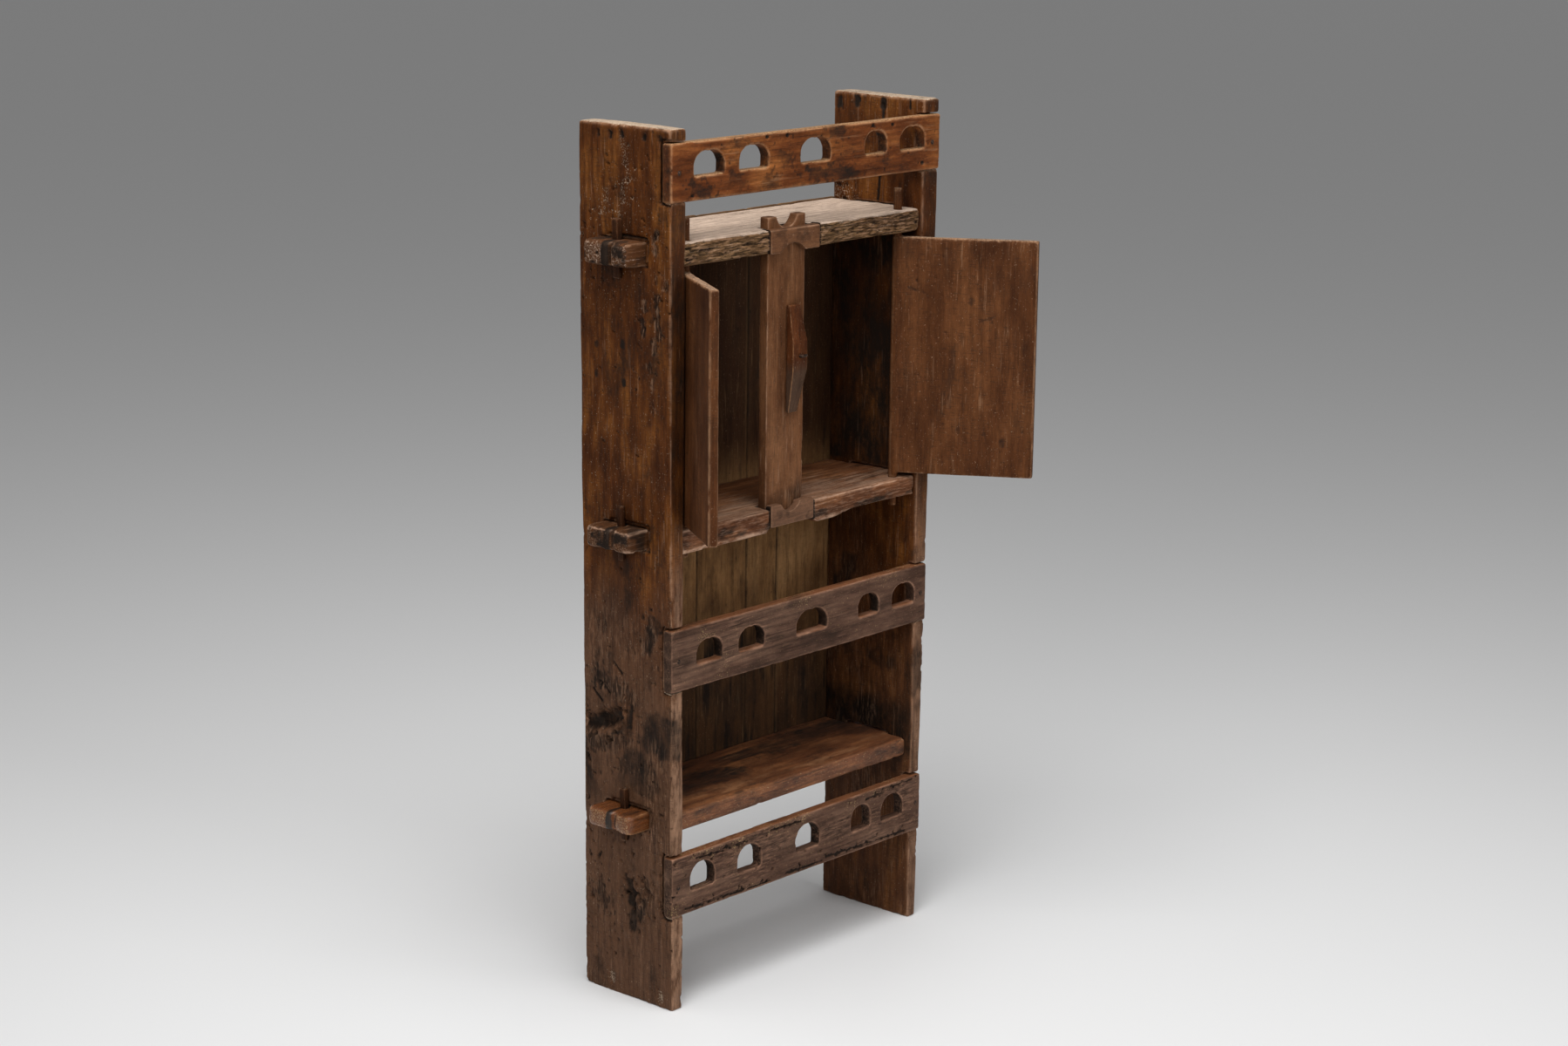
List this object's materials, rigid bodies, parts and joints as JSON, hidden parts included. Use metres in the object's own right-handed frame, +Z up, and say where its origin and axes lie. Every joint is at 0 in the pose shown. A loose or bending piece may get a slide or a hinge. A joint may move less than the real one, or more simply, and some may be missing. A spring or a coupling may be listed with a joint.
{
  "type": "plank cabinet",
  "caption": "Tall shallow plank cabinet with wedged tusk-tenon shelves, pierced arched rails, a plank back and a pintle-hung door pair held by a turn button.",
  "frame": {"origin": "on the floor, midway between the side boards' inner faces and midway between their front and back edges", "axes": "+X to the right along the front, +Y from the front to the back, +Z up"},
  "size_m": [0.7331, 0.3805, 1.404],
  "materials": {
    "side_wood": "worn, waxed, dark red-brown",
    "shelf_wood": "worn, dry, bleached on the upper faces",
    "rail_wood": "worn, waxed",
    "door_wood": "worn, satin",
    "post_wood": "worn, satin",
    "back_wood": "dry, olive brown",
    "wedge_wood": "dry, dark",
    "nail_iron": "hand-forged, dark"
  },
  "bodies": {
    "case": {"back_nails": "nail_iron", "back_plank_1": "back_wood", "back_plank_2": "back_wood", "back_plank_3": "back_wood", "back_plank_4": "back_wood", "back_plank_5": "back_wood", "bottom_rail": "rail_wood", "bottom_shelf": "shelf_wood", "centre_post": "post_wood", "left_bottom_shelf_wedge": "wedge_wood", "left_middle_shelf_wedge": "wedge_wood", "left_side": "side_wood", "left_top_shelf_wedge": "wedge_wood", "middle_keeper_block": "post_wood", "middle_rail": "rail_wood", "middle_shelf": "shelf_wood", "rail_nails": "nail_iron", "right_bottom_shelf_wedge": "wedge_wood", "right_middle_shelf_wedge": "wedge_wood", "right_side": "side_wood", "right_top_shelf_wedge": "wedge_wood", "top_keeper_block": "post_wood", "top_rail": "rail_wood", "top_shelf": "shelf_wood", "turn_button_nail": "nail_iron"},
    "left_door": {"left_door": "door_wood"},
    "right_door": {"right_door": "door_wood"},
    "turn_button": {"turn_button": "post_wood"}
  },
  "joints": [
    {"name": "left_door_hinge", "type": "hinge", "parent": "case", "child": "left_door", "pos_m": [-0.2505, -0.0685, 0.98], "axis": [0, 0, -1], "range_deg": [-122, 0]},
    {"name": "right_door_hinge", "type": "hinge", "parent": "case", "child": "right_door", "pos_m": [0.2505, -0.0685, 0.98], "axis": [0, 0, 1], "range_deg": [-122, 0]},
    {"name": "turn_button_pivot", "type": "hinge", "parent": "case", "child": "turn_button", "pos_m": [-0.0115, -0.0853, 1.019], "axis": [0, 1, 0], "continuous": true}
  ]
}
